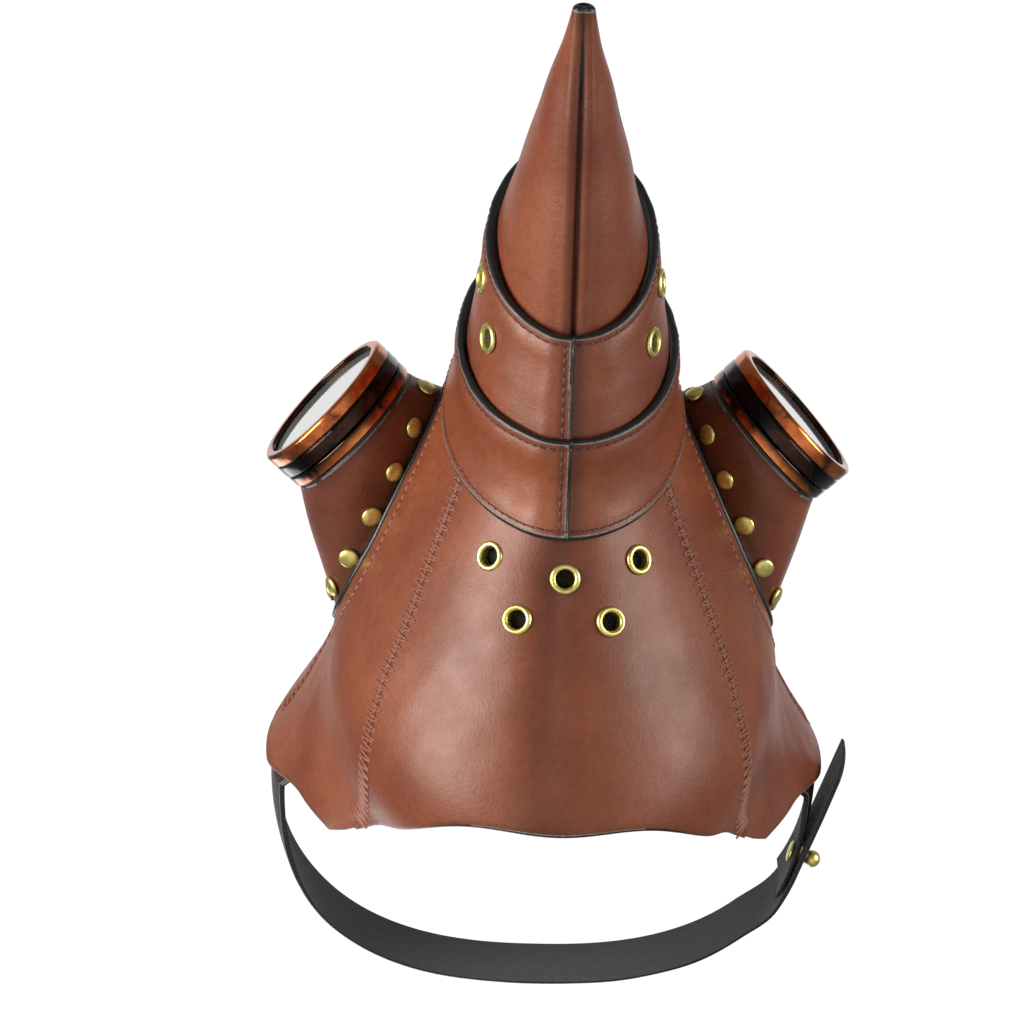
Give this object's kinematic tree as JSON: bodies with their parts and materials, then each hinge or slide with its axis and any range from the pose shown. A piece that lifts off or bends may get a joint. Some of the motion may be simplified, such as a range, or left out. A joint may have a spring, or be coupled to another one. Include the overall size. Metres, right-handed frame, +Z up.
{
  "type": "plague doctor mask",
  "caption": "Brown leather plague doctor mask with a long conical beak, screw-fronted copper goggles, brass eyelets and rivets, and a buttoned head strap.",
  "frame": {"origin": "centre of the wearer's head between the ears at eye level", "axes": "+Z up, -Y the way the wearer faces, +X to the wearer's left"},
  "size_m": [0.2124, 0.4018, 0.1959],
  "materials": {
    "leather": "satin smooth brown imitation leather with black-painted edges",
    "socket_leather": "satin darker brown imitation leather",
    "strap_leather": "matte black-brown strap leather",
    "copper": "antiqued copper with black patina",
    "brass": "polished pale brass",
    "black_enamel": "glossy black enamel on brass",
    "liner_cloth": "matte black knitted cloth",
    "lens": "silver mirrored flat lens"
  },
  "bodies": {
    "mask": {"beak_tip": "leather", "beak_band_front": "leather", "beak_band_rear": "leather", "chin_panel": "leather", "brow_panel": "leather", "cheek_panel_left": "leather", "cheek_panel_right": "leather", "breather_liner": "liner_cloth", "strap_tab": "strap_leather", "strap_band": "strap_leather", "ball_stud": "brass", "stud_screw": "brass", "eye_socket_left": "socket_leather", "goggle_barrel_left": "copper", "barrel_nut_left": "copper", "threaded_collar_left": "black_enamel", "rivet_left_1": "brass", "rivet_left_2": "brass", "rivet_left_3": "brass", "rivet_left_4": "brass", "rivet_left_5": "brass", "rivet_left_6": "brass", "rivet_left_7": "brass", "rivet_left_8": "brass", "rivet_left_9": "brass", "rivet_left_10": "brass", "rivet_left_11": "brass", "rivet_left_12": "brass", "rivet_left_13": "brass", "eye_socket_right": "socket_leather", "goggle_barrel_right": "copper", "barrel_nut_right": "copper", "threaded_collar_right": "black_enamel", "rivet_right_1": "brass", "rivet_right_2": "brass", "rivet_right_3": "brass", "rivet_right_4": "brass", "rivet_right_5": "brass", "rivet_right_6": "brass", "rivet_right_7": "brass", "rivet_right_8": "brass", "rivet_right_9": "brass", "rivet_right_10": "brass", "rivet_right_11": "brass", "rivet_right_12": "brass", "rivet_right_13": "brass", "chin_eyelet_1": "brass", "chin_eyelet_2": "brass", "chin_eyelet_3": "brass", "chin_eyelet_4": "brass", "chin_eyelet_5": "brass", "band_eyelet_1": "brass", "band_eyelet_2": "brass", "band_eyelet_3": "brass", "band_eyelet_4": "brass"},
    "lens_carrier_left": {"lens_left": "lens"},
    "screw_ring_left": {"lens_ring_left": "copper"},
    "lens_carrier_right": {"lens_right": "lens"},
    "screw_ring_right": {"lens_ring_right": "copper"},
    "strap_free_end": {"strap_end": "strap_leather"}
  },
  "joints": [
    {"name": "lens_left_travel", "type": "slide", "parent": "mask", "child": "lens_carrier_left", "axis": [0.727, -0.678, 0.109], "range_m": [0, 0.0045]},
    {"name": "lens_ring_left_turn", "type": "hinge", "parent": "lens_carrier_left", "child": "screw_ring_left", "pos_m": [0.0819, -0.1299, 0.0057], "axis": [0.727, -0.678, 0.109], "range_deg": [0, 1080]},
    {"name": "lens_right_travel", "type": "slide", "parent": "mask", "child": "lens_carrier_right", "axis": [-0.727, -0.678, 0.109], "range_m": [0, 0.0045]},
    {"name": "lens_ring_right_turn", "type": "hinge", "parent": "lens_carrier_right", "child": "screw_ring_right", "pos_m": [-0.0819, -0.1299, 0.0057], "axis": [-0.727, -0.678, 0.109], "range_deg": [0, 1080]},
    {"name": "strap_end_open", "type": "hinge", "parent": "mask", "child": "strap_free_end", "pos_m": [0.07412, 0.08272, 0.0042], "axis": [0, 0, 1], "range_deg": [0, 95]}
  ],
  "couplings": [
    {"joint": "lens_ring_left_turn", "follows": "lens_left_travel", "rad_per_m": 4188.8},
    {"joint": "lens_ring_right_turn", "follows": "lens_right_travel", "rad_per_m": 4188.8}
  ]
}
